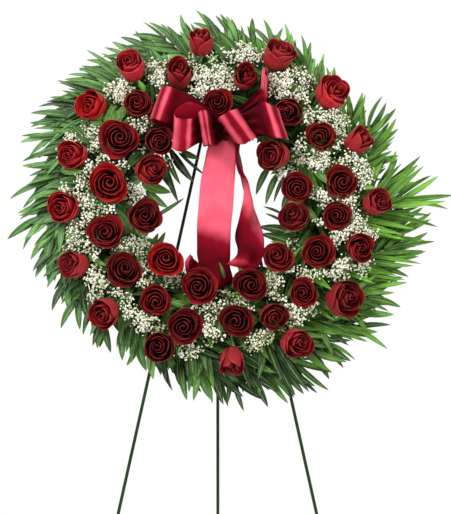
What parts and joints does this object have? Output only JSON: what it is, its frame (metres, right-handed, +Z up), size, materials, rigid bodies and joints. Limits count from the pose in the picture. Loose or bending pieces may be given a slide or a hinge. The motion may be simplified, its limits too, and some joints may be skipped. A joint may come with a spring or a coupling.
{
  "type": "funeral wreath",
  "caption": "Round standing wreath of red roses, palm fronds and baby's breath with a satin bow, on a folding wire easel.",
  "frame": {"origin": "on the floor, under the middle of the object's box", "axes": "+Z up, -Y the front that the flowers face, +X to the right as seen from the front"},
  "size_m": [0.8727, 0.5549, 1.5111],
  "materials": {
    "green_enamel": "satin",
    "tray_plastic": "satin",
    "wet_foam": "matte",
    "rose_petals": "satin",
    "palm_leaf": "satin",
    "babys_breath": "matte",
    "satin_ribbon": "satin",
    "pick_wood": "matte"
  },
  "bodies": {
    "front_frame": {"left_front_leg": "green_enamel", "right_front_leg": "green_enamel", "upper_crossbar": "green_enamel", "lower_crossbar": "green_enamel", "wreath_hook": "green_enamel", "ring_tray": "tray_plastic", "foam_ring": "wet_foam", "rose_01": "rose_petals", "rose_02": "rose_petals", "rose_03": "rose_petals", "rose_04": "rose_petals", "rose_05": "rose_petals", "rose_06": "rose_petals", "rose_07": "rose_petals", "rose_08": "rose_petals", "rose_09": "rose_petals", "rose_10": "rose_petals", "rose_11": "rose_petals", "rose_12": "rose_petals", "rose_13": "rose_petals", "rose_14": "rose_petals", "rose_15": "rose_petals", "rose_16": "rose_petals", "rose_17": "rose_petals", "rose_18": "rose_petals", "rose_19": "rose_petals", "rose_20": "rose_petals", "rose_21": "rose_petals", "rose_22": "rose_petals", "rose_23": "rose_petals", "rose_24": "rose_petals", "rose_25": "rose_petals", "rose_26": "rose_petals", "rose_27": "rose_petals", "rose_28": "rose_petals", "rose_29": "rose_petals", "rose_30": "rose_petals", "rose_31": "rose_petals", "rose_32": "rose_petals", "rose_33": "rose_petals", "rose_34": "rose_petals", "rose_35": "rose_petals", "rose_36": "rose_petals", "rose_37": "rose_petals", "rose_38": "rose_petals", "rose_39": "rose_petals", "rose_40": "rose_petals", "rose_41": "rose_petals", "rose_42": "rose_petals", "rose_43": "rose_petals", "rose_44": "rose_petals", "palm_fronds_upper": "palm_leaf", "palm_fronds_lower_left": "palm_leaf", "palm_fronds_lower_right": "palm_leaf", "babys_breath": "babys_breath", "bow_loops": "satin_ribbon", "ribbon_tail_left": "satin_ribbon", "ribbon_tail_right": "satin_ribbon", "bow_pick": "pick_wood"},
    "rear_leg": {"rear_leg": "green_enamel"}
  },
  "joints": [
    {"name": "rear_leg_fold", "type": "hinge", "parent": "front_frame", "child": "rear_leg", "pos_m": [-0.013, -0.00344, 1.27291], "axis": [-1, 0, 0], "range_deg": [0, 22]}
  ]
}
